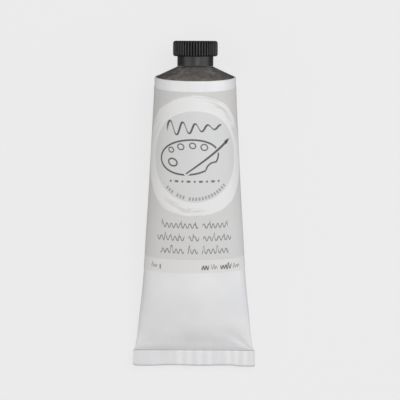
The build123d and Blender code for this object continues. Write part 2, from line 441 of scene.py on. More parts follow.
# the closed gap inside the fold that the sealing band fills
void_path = fold_path(DATUM_Y - 86.00, tip=FOLD_TIP + 0.10)
void = [fold_ring(y, z, a, T[::4], 18.45, 0.05) for y, z, a in void_path]
NV = N // 4
base = len(verts)
verts = np.concatenate([verts] + void)
inner = grid_faces(len(void), NV, base) + thin_cap(NV, base, flip=True) + thin_cap(NV, base + (len(void) - 1) * NV)
faces += inner
index += [1] * len(inner)

flat = np.zeros((len(verts), 2))
mask = np.zeros((len(verts), 2))
for i in range(m):
    s = ring_s[i]
    flat[i * N:(i + 1) * N, 0] = flat_u(np.where(T > 1.5 * math.pi, T - 2 * math.pi, T), min(max(s, 0.84), 85.9))
    flat[i * N:(i + 1) * N, 1] = s
    mask[i * N:(i + 1) * N, 0] = ring_wear[i]
xs = np.abs(verts[:, 0])
ends = smooth(18.55, 18.95, xs) * smooth(-45.4, -46.4, verts[:, 1])
mask[:, 0] = np.clip(np.maximum(mask[:, 0], 0.9 * ends), 0, 1)
mask[:, 1] = smooth(60, 85, flat[:, 1])
creased = np.zeros((len(verts), 2))
creased[:, 0] = np.clip(0.30 - flutes(verts[:, 0]), 0, 1)
creased[:, 1] = smooth(85.2, 87.0, flat[:, 1])


# ============================================================ materials
class V:
    """A number or socket in a node tree, with arithmetic that adds Math nodes."""

    def __init__(self, tree, s):
        self.t, self.s = tree, s

    def op(self, kind, *others, clamp=False):
        n = self.t.nodes.new("ShaderNodeMath")
        n.operation, n.use_clamp = kind, clamp
        for i, o in enumerate((self,) + others):
            o = o.s if isinstance(o, V) else o
            if isinstance(o, (int, float)):
                n.inputs[i].default_value = float(o)
            else:
                self.t.links.new(o, n.inputs[i])
        return V(self.t, n.outputs[0])

    def __add__(self, o): return self.op("ADD", o)
    def __radd__(self, o): return self.op("ADD", o)
    def __sub__(self, o): return self.op("SUBTRACT", o)
    def __rsub__(self, o): return V(self.t, o).op("SUBTRACT", self)
    def __mul__(self, o): return self.op("MULTIPLY", o)
    def __rmul__(self, o): return self.op("MULTIPLY", o)
    def __truediv__(self, o): return self.op("DIVIDE", o)
    def __neg__(self): return self.op("MULTIPLY", -1.0)
    def abs(self): return self.op("ABSOLUTE")
    def sin(self): return self.op("SINE")
    def cos(self): return self.op("COSINE")
    def sqrt(self): return self.op("SQRT")
    def max(self, o): return self.op("MAXIMUM", o)
    def min(self, o): return self.op("MINIMUM", o)
    def clip(self): return self.op("ADD", 0.0, clamp=True)

    def ramp(self, a, b, lo=0.0, hi=1.0):
        """A smooth step from lo at a to hi at b; a may be above b."""
        n = self.t.nodes.new("ShaderNodeMapRange")
        n.interpolation_type = "SMOOTHSTEP"
        if a > b:
            a, b, lo, hi = b, a, hi, lo
        self.t.links.new(self.s, n.inputs["Value"])
        for k, v in (("From Min", a), ("From Max", b), ("To Min", lo), ("To Max", hi)):
            n.inputs[k].default_value = v
        return V(self.t, n.outputs["Result"])


class Mat:
    def __init__(self, name, **sockets):
        self.m = bpy.data.materials.new(name)
        self.m.use_nodes = True
        self.t = self.m.node_tree
        self.bsdf = self.t.nodes["Principled BSDF"]
        for k, v in sockets.items():
            self.bsdf.inputs[k.replace("_", " ")].default_value = v
        self._height = None

    def node(self, kind, inputs=None, **props):
        n = self.t.nodes.new(kind)
        for k, v in props.items():
            setattr(n, k, v)
        for k, v in (inputs or {}).items():
            v = v.s if isinstance(v, V) else v
            if isinstance(v, (int, float, tuple, list)):
                n.inputs[k].default_value = v
            else:
                self.t.links.new(v, n.inputs[k])
        return n

    def split(self, socket):
        n = self.node("ShaderNodeSeparateXYZ", {0: socket})
        return [V(self.t, n.outputs[i]) for i in range(3)]

    def vec(self, x, y, z=0.0):
        n = self.node("ShaderNodeCombineXYZ", {0: x, 1: y, 2: z})
        return n.outputs[0]

    def uv(self, layer):
        x, y, _ = self.split(self.node("ShaderNodeUVMap", uv_map=layer).outputs[0])
        return x, y

    def place(self):
        """Object coordinates in mm."""
        n = self.node("ShaderNodeTexCoord")
        s = self.node("ShaderNodeVectorMath", {0: n.outputs["Object"], "Scale": 1000.0}, operation="SCALE")
        return s.outputs[0]

    def noise(self, vector, scale, detail=3.0, rough=0.55, distort=0.0):
        n = self.node("ShaderNodeTexNoise", {"Vector": vector, "Scale": scale, "Detail": detail, "Roughness": rough, "Distortion": distort})
        return V(self.t, n.outputs["Fac"])

    def cells(self, vector, scale, feature="F1", rand=1.0):
        n = self.node("ShaderNodeTexVoronoi", {"Vector": vector, "Scale": scale, "Randomness": rand}, feature=feature)
        return V(self.t, n.outputs["Distance"])

    def mix(self, f, a, b):
        """Colour mix; a and b are (r, g, b) or sockets."""
        n = self.node("ShaderNodeMix", data_type="RGBA")
        for k, v in ((0, f), (6, a), (7, b)):
            v = v.s if isinstance(v, V) else v
            if isinstance(v, tuple):
                v = v + (1.0,)
            if isinstance(v, (int, float, tuple)):
                n.inputs[k].default_value = v
            else:
                self.t.links.new(v, n.inputs[k])
        return n.outputs[2]

    def set(self, socket, v):
        v = v.s if isinstance(v, V) else v
        if isinstance(v, (int, float, tuple)):
            self.bsdf.inputs[socket].default_value = v
        else:
            self.t.links.new(v, self.bsdf.inputs[socket])

    def bump(self, height, depth_mm, strength=1.0):
        """height runs 0..1 and stands for depth_mm; several stack."""
        n = self.node("ShaderNodeBump", {"Strength": strength, "Distance": depth_mm * MM, "Height": height})
        if self._height is not None:
            self.t.links.new(self._height, n.inputs["Normal"])
        self._height = n.outputs[0]
        self.t.links.new(n.outputs[0], self.bsdf.inputs["Normal"])


def lin(r, g=None, b=None):
    g, b = (r, r) if g is None else (g, b)
    return tuple(((c / 255) / 12.92 if c / 255 <= 0.04045 else ((c / 255 + 0.055) / 1.055) ** 2.4) for c in (r, g, b))


def enamel():
    m = Mat("white_enamel", Roughness=0.33, IOR=1.5, Coat_Weight=0.25, Coat_Roughness=0.12)
    p = m.place()
    u, s = m.uv("flat")
    wear, slack = m.uv("mask")
    cloud = m.noise(p, 0.10, 2, 0.5)
    fine = m.noise(p, 1.6, 4, 0.6)
    speck = m.noise(p, 5.0, 2, 0.5)
    base = m.mix(cloud.ramp(0.35, 0.68), (0.775, 0.775, 0.780), (0.815, 0.812, 0.806))
    # faint rub marks along the tube, and handling grime where it is gripped
    rub = m.noise(m.vec(u * 1.7, s * 0.16, 3.0), 1.0, 4, 0.62)
    base = m.mix(rub.ramp(0.60, 0.78) * 0.30, base, (0.70, 0.695, 0.685))
    base = m.mix((speck.ramp(0.70, 0.76) * 0.35), base, (0.58, 0.57, 0.55))
    # the crimping jaws dulled the fold; the troughs of its ripples are darkened further with painted shade
    trough, folded = m.uv("creased")
    base = m.mix(folded * 0.30, base, (0.62, 0.62, 0.625))
    base = m.mix(folded * trough * (fine + 0.4).clip() * 0.42, base, (0.50, 0.50, 0.505))
    # chipped and rubbed enamel along the rim and the folded edges lets the aluminium through
    chip = (wear.ramp(0.45, 1.0) * 0.75 + fine * 0.55).ramp(0.80, 0.93)
    crackle = m.cells(p, 1.1, "DISTANCE_TO_EDGE")
    crack = crackle.ramp(0.035, 0.0) * wear.ramp(0.2, 0.7)
    base = m.mix(chip * 0.75, base, (0.50, 0.50, 0.505))
    base = m.mix(crack * 0.35, base, (0.42, 0.41, 0.40))
    m.set("Base Color", base)
    m.set("Metallic", chip * 0.8)
    m.set("Roughness", (rub * 0.16 + fine * 0.10 + 0.20) - chip * 0.04)
    m.bump(m.noise(p, 0.75, 2, 0.4), 0.010)
    m.bump(speck, 0.0022)
    m.bump(1.0 - chip, 0.012)
    # creases stretched across the soft tail
    crease = m.noise(m.vec(u * 0.42, s * 0.10, 8.0), 1.0, 3, 0.5, 0.6)
    m.bump(crease * slack, 0.06)
    return m.m


def bare_metal():
    m = Mat("bare_aluminium", Metallic=0.72, Specular_IOR_Level=0.4)
    p = m.place()
    x, y, z = m.split(p)
    dz = z - NECK_Z
    r = (x * x + dz * dz).sqrt()
    a = m.noise(p, 0.55, 5, 0.62, 0.4)
    b = m.noise(p, 1.9, 4, 0.6)
    turned = m.noise(m.vec(r * 5.2, 2.0, 1.0), 1.0, 3, 0.6)
    warm = m.noise(p, 0.16, 2, 0.5)
    base = m.mix(a.ramp(0.34, 0.70), (0.166, 0.155, 0.142), (0.378, 0.359, 0.336))
    base = m.mix(warm.ramp(0.40, 0.66) * 0.55, base, (0.250, 0.218, 0.192))
    base = m.mix(b.ramp(0.60, 0.78) * 0.45, base, (0.070, 0.066, 0.062))
    base = m.mix(turned.ramp(0.58, 0.80) * 0.22, base, (0.34, 0.335, 0.325))
    # painted shade and painted highlight: the flanks are darkened and the top is lightened out towards the rim
    u, s = m.uv("flat")
    base = m.mix(u.abs().ramp(8.0, 18.5) * 0.62, base, (0.062, 0.062, 0.058))
    base = m.mix(r.ramp(8.5, 11.8) * u.abs().ramp(13.0, 3.0) * 0.34, base, (0.44, 0.40, 0.362))
    # painted shade: darker in the corner against the neck
    base = m.mix(r.ramp(6.9, 5.2) * r.ramp(4.6, 5.1) * 0.40, base, (0.045, 0.043, 0.041))
    # thread crests are rubbed bright by the cap, and dry paint sits by the orifice
    crest = r.ramp(4.18, 4.33) * y.ramp(42.7, 43.3)
    base = m.mix(crest * 0.6, base, (0.46, 0.46, 0.46))
    tip = y.ramp(48.22, 48.68) * (b + 0.25).ramp(0.62, 0.80)
    base = m.mix(tip * 0.9, base, (0.80, 0.79, 0.76))
    m.set("Base Color", base)
    m.set("Metallic", 0.72 - tip * 0.7)
    m.set("Roughness", a * 0.20 + b * 0.12 + 0.36)
    m.bump(turned, 0.014)
    m.bump(a, 0.020)
    m.bump(b, 0.006)
    return m.m


INK = (0.030, 0.028, 0.026)


def label_print():
    m = Mat("label_paper", Roughness=0.45, IOR=1.46, Specular_IOR_Level=0.42, Sheen_Weight=0.04, Sheen_Roughness=0.5)
    p = m.place()
    u, s = m.uv("flat")
    side, lift = m.uv("mask")
    fibre = m.noise(m.vec(u * 2.2, s * 2.9, 1.0), 1.0, 4, 0.6)
    long_fibre = m.noise(m.vec(u * 0.55, s * 3.8, 5.0), 1.0, 3, 0.6)
    cloud = m.noise(m.vec(u * 0.07, s * 0.07, 2.0), 1.0, 2, 0.5)
    soft = 0.10

    def paint(mask, col, f=1.0):
        m.ink = m.mix(mask * f if f != 1.0 else mask, m.ink, col)

    def stroke(d, w, blur=soft):
        return d.ramp(w + blur, w - blur)

    def capsule(x0, y0, x1, y1):
        dx, dy = x1 - x0, y1 - y0
        ll = dx * dx + dy * dy
        px, py = u - x0, s - y0
        h = ((px * (dx / ll)) + (py * (dy / ll))).clip()
        qx, qy = px - h * dx, py - h * dy
        return (qx * qx + qy * qy).sqrt(), h

    def ellipse(cx, cy, rx, ry, turn=0.0):
        """Distance to an ellipse's line, near enough for a thin stroke, and the inside measure."""
        px, py = u - cx, s - cy
        c, n = math.cos(turn), math.sin(turn)
        ax, ay = px * c + py * n, py * c - px * n
        k = ((ax / rx) * (ax / rx) + (ay / ry) * (ay / ry)).sqrt()
        g = ((ax / (rx * rx)) * (ax / (rx * rx)) + (ay / (ry * ry)) * (ay / (ry * ry))).sqrt().max(1e-4)
        return ((k - 1.0).abs() * k / g), k

    # printed grounds
    m.ink = m.mix(s.ramp(23, 52), (0.622, 0.612, 0.590), (0.652, 0.646, 0.632))
    paint(cloud.ramp(0.35, 0.7), (0.660, 0.655, 0.645), 0.5)
    band_edge = s + long_fibre * 0.06
    paint(band_edge.ramp(55.66, 55.80), (0.742, 0.732, 0.712))
    # brushed ring round a paler disc
    cx, cy = u - 0.0, s - 23.52
    rr = (cx * cx + cy * cy).sqrt()
    ca, sa = cx / rr.max(0.1), cy / rr.max(0.1)
    hairs = m.noise(m.vec(ca * 3.2, sa * 3.2, rr * 2.6), 1.0, 4, 0.65)
    hairs2 = m.noise(m.vec(ca * 1.6, sa * 1.6, rr * 1.1), 1.0, 3, 0.6)
    wob = m.noise(m.vec(ca * 1.2, sa * 1.2, 4.0), 1.0, 2, 0.5)
    out_r = rr - wob * 2.6 + 1.3 + (hairs2 - 0.5) * 1.1
    inside = rr.ramp(14.55, 14.15)
    paint(inside, (0.668, 0.668, 0.660))
    outer = (out_r + hairs * 1.7).ramp(19.80, 19.20)
    inner_e = (rr + hairs2 * 0.22).ramp(14.15, 14.40)
    ring = outer * inner_e
    # the brush ran dry at the upper right and along the bottom
    dry = (ca * 0.78 - sa * 0.62).ramp(0.62, 0.96) + (sa * 0.96 - ca * 0.22).ramp(0.84, 0.99) + (-ca * 0.9 - sa * 0.43).ramp(0.93, 1.0) * 0.7
    gaps = (hairs * 0.55 + hairs2 * 0.45).ramp(0.50, 0.56) * dry.clip() * rr.ramp(15.0, 16.0)
    paint(ring * (1.0 - gaps * 0.85), (0.800, 0.796, 0.785))

    # a loose brush flourish
    amp = u.ramp(-9.3, 9.0, 2.15, 0.55)
    ph = u * 1.42 + (u * 0.23).sin() * 0.9 + 1.3
    wave = ph.sin() * amp
    slope = (ph.cos() * amp * 1.42)
    dist = ((s - 14.55 + u * 0.02) + wave).abs() / (slope * slope + 1.0).sqrt()
    weight = (ph.cos() * 0.11 + 0.25)
    fl = (dist - weight).ramp(0.10, -0.10) * u.ramp(-9.35, -9.15) * u.ramp(8.75, 8.4)
    paint(fl, INK, 0.93)
    # thin-line palette and brush
    d, k = ellipse(-1.9, 23.6, 9.4, 5.35, -0.10)
    bite, _ = ellipse(5.9, 27.3, 2.5, 2.0, -0.5)
    bx, by = u - 5.9, s - 27.3
    away = ((bx / 2.5) * (bx / 2.5) + (by / 2.0) * (by / 2.0)).sqrt()
    outline = stroke(d, 0.27) * away.ramp(0.98, 1.06)
    paint(outline, INK, 0.92)
    notch = stroke(bite, 0.25) * k.ramp(1.03, 0.97)
    paint(notch, INK, 0.92)
    d, _ = ellipse(-7.0, 25.3, 1.45, 1.10, 0.3)
    paint(stroke(d, 0.24), INK, 0.92)
    for px, py, pr in ((-7.6, 21.5, 0.85), (-4.4, 20.4, 1.0), (-0.7, 20.0, 0.95), (2.9, 20.5, 1.05)):
        d, k = ellipse(px, py, pr, pr * 0.86, 0.4)
        paint(stroke(d, 0.19), INK, 0.90)
    d, h = capsule(-2.6, 28.6, 10.9, 18.9)
    handle = (d - (h * -0.10 + 0.36)).ramp(0.10, -0.10)
    clear = (d - 0.78).ramp(0.10, -0.10)
    paint(clear, (0.668, 0.668, 0.660))
    paint((d - (h * 0.20 + 0.22)).ramp(0.10, -0.10), INK, 0.92)
    d, h = capsule(10.4, 19.26, 11.9, 18.2)
    paint((d - (1.0 - h) * 0.62).ramp(0.12, -0.10), INK, 0.92)
    # a row of small studs under it
    cell = (u + 8.55).op("MODULO", 1.90)
    which = ((u + 8.55) / 1.90).op("FLOOR")
    long = which.op("MODULO", 2.0)
    dx = ((cell - 0.95).abs() - long * 0.30).max(0.0)
    dy = (s - 31.1)
    dot = ((dx * dx + dy * dy).sqrt() - 0.34).ramp(0.10, -0.10) * (u.abs()).ramp(8.60, 8.50)
    paint(dot, (0.085, 0.083, 0.080), 0.9)
    # an arc of short ticks
    ang = cx.op("ARCTAN2", cy)                      # 0 straight down, + to the right
    tick = (ang * 13.45 / 1.04 + 200.0)
    ph = tick.op("FRACT")
    keep = m.node("ShaderNodeTexWhiteNoise", {"W": tick.op("FLOOR")}, noise_dimensions="1D")
    kv = V(m.t, keep.outputs["Value"])
    tmask = (ph - 0.5).abs().ramp(0.36, 0.26) * (rr - 13.05).abs().ramp(0.62, 0.42)
    tmask = tmask * kv.ramp(0.16, 0.18) * (ang + 0.02).abs().ramp(0.86, 0.84)
    paint(tmask, (0.26, 0.255, 0.25), 0.75)

    # greeked lines: a running scribble broken into words
    def line(row, x0, x1, height, pitch, w, col, f, seed, words):
        wob_n = m.noise(m.vec(u * 0.55, row * 1.0, seed), 1.0, 2, 0.5)
        q = u * (2 * math.pi / pitch) + wob_n * 3.0
        lift_n = m.noise(m.vec(u * 0.9, row * 1.0, seed + 3.0), 1.0, 0, 0.5)
        a = lift_n.ramp(0.57, 0.63, height * 0.27, height * 0.50)
        f1 = q.sin() * a
        sl = q.cos() * a * (2 * math.pi / pitch)
        dd = ((s - row) + f1 + (a - height * 0.27)).abs() / (sl * sl + 1.0).sqrt()
        mk = (dd - w).ramp(0.09, -0.07)
        gate = None
        for a0, a1 in words:
            g = u.ramp(a0 - 0.08, a0 + 0.08) * u.ramp(a1 + 0.08, a1 - 0.08)
            gate = g if gate is None else gate + g
        paint(mk * gate, col, f)

    grey = (0.115, 0.112, 0.108)
    line(44.95, 0, 0, 2.3, 1.46, 0.14, grey, 0.85, 1.0, ((-10.6, 1.1), (2.5, 10.7)))
    line(48.95, 0, 0, 2.3, 1.52, 0.14, grey, 0.85, 2.0, ((-12.1, -3.1), (-1.8, 1.4), (2.7, 11.9)))
    line(52.95, 0, 0, 2.3, 1.44, 0.14, grey, 0.85, 3.0, ((-10.9, -3.3), (-2.1, 1.0), (2.3, 10.9)))
    # two short marks on the pale band
    line(58.05, 0, 0, 1.15, 0.86, 0.13, (0.16, 0.155, 0.15), 0.85, 4.0, ((-14.2, -11.9),))
    d, h = capsule(-10.9, 57.6, -10.9, 58.7)
    paint(stroke(d, 0.20), (0.06, 0.058, 0.055), 0.9)
    line(58.15, 0, 0, 1.35, 0.92, 0.24, (0.045, 0.043, 0.040), 0.9, 5.0, ((2.2, 4.5),))
    line(58.15, 0, 0, 1.15, 0.86, 0.13, (0.17, 0.165, 0.16), 0.85, 6.0, ((5.1, 7.2), (12.4, 14.9)))
    line(58.15, 0, 0, 1.25, 0.90, 0.22, (0.06, 0.058, 0.055), 0.9, 7.0, ((8.1, 11.9),))
    # the back carries a block of small greeked print
    uu = u + 31.5
    row = (s - 14.0) / 1.55
    rp = row.op("FRACT")
    rn = row.op("FLOOR")
    wn = m.noise(m.vec(uu * 0.62, rn * 3.1, 9.0), 1.0, 1, 0.5)
    ends = m.node("ShaderNodeTexWhiteNoise", {"W": rn}, noise_dimensions="1D")
    right = V(m.t, ends.outputs["Value"]) * 2.5
    back = (rp - 0.5).abs().ramp(0.20, 0.14) * wn.ramp(0.40, 0.42) * uu.ramp(-9.1, -9.0) * (uu + right).ramp(9.1, 9.0)
    gap = rn.op("MODULO", 7.0).ramp(0.4, 0.6)
    back = back * s.ramp(13.9, 14.0) * s.ramp(50.3, 50.2) * gap
    paint(back, (0.20, 0.197, 0.19), 0.8)

    # ink isn't quite even, and the coated paper shows a little tooth
    base = m.mix((fibre - 0.5) * 0.10 + 0.05, m.ink, (0.50, 0.49, 0.47))
    base = m.mix((long_fibre.ramp(0.55, 0.8)) * 0.06, base, (0.86, 0.86, 0.85))
    edge = s.ramp(59.45, 59.84) + s.ramp(3.80, 3.56)
    base = m.mix(edge * fibre * 0.5, base, (0.86, 0.85, 0.83))
    scuff = m.noise(m.vec(u * 0.9, s * 0.35, 7.0), 1.0, 5, 0.68)
    base = m.mix(scuff.ramp(0.66, 0.76) * 0.25, base, (0.80, 0.79, 0.775))
    m.set("Base Color", base)
    m.set("Roughness", fibre * 0.14 + scuff * 0.12 + 0.30)
    m.bump(fibre, 0.006)
    m.bump(long_fibre, 0.004)
    m.bump(m.noise(m.vec(u * 0.35, s * 0.35, 6.0), 1.0, 2, 0.5), 0.020)
    return m.m


def cap_plastic():
    m = Mat("cap_plastic", IOR=1.49, Specular_IOR_Level=0.5)
    p = m.place()
    x, y, z = m.split(p)
    dz = z - NECK_Z
    r = (x * x + dz * dz).sqrt()
    worn, deep = m.uv("mask")
    grain = m.noise(p, 4.5, 3, 0.6)
    cloud = m.noise(p, 0.35, 3, 0.55)
    base = m.mix(cloud.ramp(0.35, 0.68), (0.0200, 0.0200, 0.0190), (0.0330, 0.0325, 0.0315))
    base = m.mix(worn.ramp(0.40, 0.0) * 0.60, base, (0.0105, 0.0108, 0.0100))
    polished = worn.ramp(0.35, 1.0) * (grain + 0.15).ramp(0.40, 0.75)
    base = m.mix(polished * 0.55, base, (0.090, 0.088, 0.085))
    # painted shade: the grooves are darkened nearly to black for the shade in their recesses, while the crests go grey
    # with handling
    base = m.mix(deep.ramp(0.15, 0.85) * 0.85, base, (0.0045, 0.0045, 0.0042))
    dust = m.noise(p, 2.2, 5, 0.7).ramp(0.63, 0.74) * worn.ramp(0.5, 0.0)
    base = m.mix(dust * 0.18, base, (0.14, 0.135, 0.13))
    m.set("Base Color", base)
    m.set("Roughness", 0.27 - polished * 0.06 + grain * 0.10 + deep * 0.25)
    m.bump(grain, 0.006)
    m.bump(m.noise(p, 1.1, 2, 0.5), 0.010)
    # flow lines round the moulded skirt
    flow = m.noise(m.vec(y * 5.5, r * 0.3, 2.0), 1.0, 3, 0.6)
    m.bump(flow, 0.008)
    return m.m


def cap_groove_matt_shade():
    m = Mat("cap_groove_matt_shade", IOR=1.45, Specular_IOR_Level=0.08)
    p = m.place()
    grain = m.noise(p, 4.5, 3, 0.6)
    groove_shade_noise = m.noise(p, 1.3, 4, 0.65)
    # painted shade: the groove floors' base colour is near black, mottled a little
    base = m.mix(groove_shade_noise.ramp(0.42, 0.70), (0.0035, 0.0034, 0.0032), (0.0140, 0.0135, 0.0128))
    base = m.mix(grain.ramp(0.66, 0.80) * 0.25, base, (0.045, 0.043, 0.041))
    m.set("Base Color", base)
    m.set("Roughness", grain * 0.15 + 0.55)
    m.bump(grain, 0.010)
    return m.m


def foam():
    m = Mat("liner_foam", Roughness=0.75, IOR=1.45, Subsurface_Weight=0.08, Subsurface_Scale=0.0006)
    p = m.place()
    x, y, z = m.split(p)
    dz = z - NECK_Z
    r = (x * x + dz * dz).sqrt()
    bub = m.cells(p, 5.5)
    big = m.noise(p, 0.9, 4, 0.6)
    base = m.mix(big.ramp(0.35, 0.7), (0.70, 0.695, 0.665), (0.78, 0.775, 0.75))
    base = m.mix(bub.ramp(0.30, 0.05) * 0.25, base, (0.56, 0.55, 0.52))
    stain = (r - 2.95).abs().ramp(0.75, 0.25) * (big + 0.12).ramp(0.45, 0.62)
    base = m.mix(stain * 0.7, base, (0.84, 0.83, 0.80))
    ringed = (r - 3.35).abs().ramp(0.18, 0.06)
    base = m.mix(ringed * 0.35, base, (0.36, 0.35, 0.34))
    m.set("Base Color", base)
    m.set("Roughness", 0.82 - stain * 0.42)
    m.bump(bub, 0.05)
    m.bump(big, 0.04)
    return m.m


def latex():
    m = Mat("sealant_latex", Roughness=0.5, IOR=1.5)
    p = m.place()
    a = m.noise(p, 0.8, 4, 0.6)
    b = m.noise(p, 4.0, 3, 0.5)
    base = m.mix(a.ramp(0.35, 0.7), (0.66, 0.55, 0.36), (0.76, 0.67, 0.49))
    m.set("Base Color", m.mix(b.ramp(0.6, 0.75) * 0.3, base, (0.50, 0.40, 0.26)))
    m.set("Roughness", a * 0.3 + 0.35)
    m.bump(b, 0.01)
    return m.m


def oil_paint():
    m = Mat("oil_paint", Roughness=0.28, IOR=1.48, Subsurface_Weight=0.06, Subsurface_Scale=0.0008, Coat_Weight=0.3, Coat_Roughness=0.15)
    p = m.place()
    a = m.noise(p, 0.7, 4, 0.6, 0.8)
    b = m.noise(p, 3.2, 3, 0.55)
    base = m.mix(a.ramp(0.3, 0.72), (0.83, 0.825, 0.80), (0.90, 0.898, 0.885))
    m.set("Base Color", m.mix(b.ramp(0.62, 0.75) * 0.25, base, (0.80, 0.76, 0.66)))
    m.set("Roughness", a * 0.20 + 0.20)
    m.bump(a, 0.12)
    m.bump(b, 0.02)
    return m.m


MAT_ENAMEL, MAT_BARE, MAT_LABEL = enamel(), bare_metal(), label_print()
MAT_CAP, MAT_GROOVE_SHADE, MAT_FOAM, MAT_LATEX, MAT_PAINT = cap_plastic(), cap_groove_matt_shade(), foam(), latex(), oil_paint()

# ============================================================ the pieces
shell = add_mesh("tube_body", verts, faces, {"flat": flat, "mask": mask, "creased": creased}, [MAT_ENAMEL, MAT_BARE], index, sharp=38)
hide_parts("tube_shell")

# ---- paper label: a thin closed sleeve, open at its seam under the tube
NL = 300
label_s = np.concatenate([[LABEL_S0, LABEL_S0 + 0.25], np.arange(4.4, 59.4, 1.0), [59.45, LABEL_S1]])
outer_rows, inner_rows, luv = [], [], []
for s in label_s:
    a = stat(1, s)
    t0 = -math.acos((SEAM_X + 0.15) / (a + 0.1))
    t1 = 2 * math.pi - math.acos((SEAM_X - 0.15) / (a + 0.1))
    t = np.linspace(t0, t1, NL)
    end = smooth(0.9, 0.0, s - LABEL_S0) + smooth(0.9, 0.0, LABEL_S1 - s)
    proud = 0.018 * end * (1.0 + np.sin(3.1 * t + s)) * (np.sin(t) > 0)
    outer_rows.append(wall_ring(s, t, LABEL_T + 0.0) + 0)
    inner_rows.append(wall_ring(s, t, 0.02))
    if end > 0:
        up = np.stack([np.cos(t), 0 * t, np.sin(t)], 1) * proud[:, None]
        outer_rows[-1] = outer_rows[-1] + up * 0.6
        inner_rows[-1] = inner_rows[-1] + up * 0.6
    luv.append(np.stack([flat_u(t, s), np.full(NL, s)], 1))
R = len(label_s)
lv = np.concatenate(outer_rows + inner_rows)
lf = []
for i in range(R - 1):
    for j in range(NL - 1):
        a, b, c, d = i * NL + j, i * NL + j + 1, (i + 1) * NL + j + 1, (i + 1) * NL + j
        lf.append((a, b, c, d))
        o = R * NL
        lf.append((o + d, o + c, o + b, o + a))
o = R * NL
for j in range(NL - 1):
    lf.append((j + 1, j, o + j, o + j + 1))
    k = (R - 1) * NL
    lf.append((k + j, k + j + 1, o + k + j + 1, o + k + j))
for i in range(R - 1):
    a, b = i * NL, (i + 1) * NL
    lf.append((a, b, o + b, o + a))
    a, b = a + NL - 1, b + NL - 1
    lf.append((b, a, o + a, o + b))
luv = np.concatenate(luv + luv)
label = add_mesh("label_wrap", lv, lf, {"flat": luv, "mask": np.zeros_like(luv)}, [MAT_LABEL], sharp=35)
outward(label)
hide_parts("label")

# ---- sealing band in the fold
NS = 48
TS = np.arange(NS) * 2 * math.pi / NS
seal_rings = [fold_ring(y, z, a, TS, 18.40, 0.036) for y, z, a in fold_path(DATUM_Y - 86.05, tip=FOLD_TIP + 0.16)]
sv = np.concatenate(seal_rings)
sf = grid_faces(len(seal_rings), NS) + thin_cap(NS, 0, flip=True) + thin_cap(NS, (len(seal_rings) - 1) * NS)
seal = add_mesh("fold_seal_band", sv, sf, None, [MAT_LATEX])
outward(seal)
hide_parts("fold_sealant")

# ---- the paint inside, with the small dome it leaves in the nozzle
NP = 160
TP = np.arange(NP) * 2 * math.pi / NP
pr = [wall_ring(s, TP, -WALL - 0.07) for s in list(np.linspace(84.9, 80, 9)) + list(np.linspace(79, 60, 16)) + list(np.linspace(58, 2.5, 26)) + [1.5]]
foot = level_ring(NECK_BASE_Y - 0.75, 3.05, TP)
top_room = pr[-1]
for f in (0.33, 0.66, 1.0):
    pr.append(blend_rings(top_room, foot, f))
for y, r in ((NECK_BASE_Y - 0.35, 2.66), (NECK_BASE_Y + 0.05, ORIFICE_R - 0.06), (44.5, ORIFICE_R - 0.06), (46.5, ORIFICE_R - 0.06), (47.3, ORIFICE_R - 0.06)):
    pr.append(level_ring(y, r, TP))
for k in range(1, 13):
    a = math.pi / 2 * k / 13
    r = (ORIFICE_R - 0.06) * math.cos(a)
    lump = 0.05 * math.sin(a) * np.sin(2 * TP + 3 * a) + 0.02 * np.sin(5 * TP + 7 * a) * math.cos(a)
    q = level_ring(47.3, r, TP)
    q[:, 1] += 0.55 * math.sin(a) ** 0.8 + lump * 0.8
    pr.append(q)
pv = np.concatenate(pr + [np.array([[0.0, 47.86, NECK_Z]])])
pf = grid_faces(len(pr), NP) + thin_cap(NP, 0, flip=True) + fan_cap(NP, (len(pr) - 1) * NP, len(pv) - 1)
paint_mass = add_mesh("paint_mass", pv, pf, None, [MAT_PAINT])
outward(paint_mass)
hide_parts("paint_fill")

# ---- cap: ribbed head, plain skirt, bore with its own thread
PH = np.array([-0.5, -0.43, -0.365, -0.315, -0.25, -0.13, 0.0, 0.13, 0.25, 0.315, 0.365, 0.43])
TC = np.concatenate([(k + PH) * 2 * math.pi / RIBS for k in range(RIBS)])
groove = np.tile(np.sqrt(np.clip(1 - (PH / 0.37) ** 2, 0, 1)), RIBS)
NC = len(TC)
cap_rings, cap_wear, cap_groove = [], [], []


def cap_ring(y, r, wear=0.0, ribbed=False, deep=1.0):
    r = np.broadcast_to(np.asarray(r, float), (NC,)).copy()
    w = np.full(NC, float(wear))
    if ribbed:
        limit = CAP_HEAD_R - RIB_DEPTH * groove * deep
        r = np.minimum(r, limit)
        w = w * (1 - groove)
    cap_groove.append(groove * deep if ribbed else np.zeros(NC))
    cap_rings.append(level_ring(y, r, TC))
    cap_wear.append(w)


def thread_bore(y):
    return CAP_ROOT_R - ridge_height(y, TC, THREAD_Y, 0.5, TURNS, 1.0, 0.44, CAP_ROOT_R - CAP_CREST_R)


# inside, from the middle of the seat out and down the bore
for r in (0.6, 2.0, 3.4, 4.3):
    cap_ring(CAP_SEAT_Y, r)
cap_ring(CAP_SEAT_Y - 0.05, CAP_ROOT_R - 0.03)
for y in (48.9, 48.5, 48.1):
    cap_ring(y, CAP_ROOT_R)
for y in np.arange(47.9, 42.95, -0.11):
    cap_ring(y, thread_bore(y))
for y, r in ((42.86, 4.66), (42.66, 4.86), (42.52, 5.00), (CAP_SKIRT_Y, 5.09)):
    cap_ring(y, r)
# skirt
cap_ring(CAP_SKIRT_Y, CAP_SKIRT_R - 0.11, 0.3)
for k in range(1, 5):
    a = math.pi / 2 * k / 4
    cap_ring(CAP_SKIRT_Y + 0.10 * (1 - math.cos(a)), CAP_SKIRT_R - 0.10 + 0.10 * math.sin(a), 0.5)
for y in (42.9, 43.4, 44.0, 44.6, 45.1, 45.34):
    cap_ring(y, CAP_SKIRT_R)
for k in range(1, 4):
    a = math.pi / 2 * k / 3
    cap_ring(CAP_HEAD_Y - 0.14 + 0.14 * math.sin(a), CAP_SKIRT_R + 0.14 * (1 - math.cos(a)))
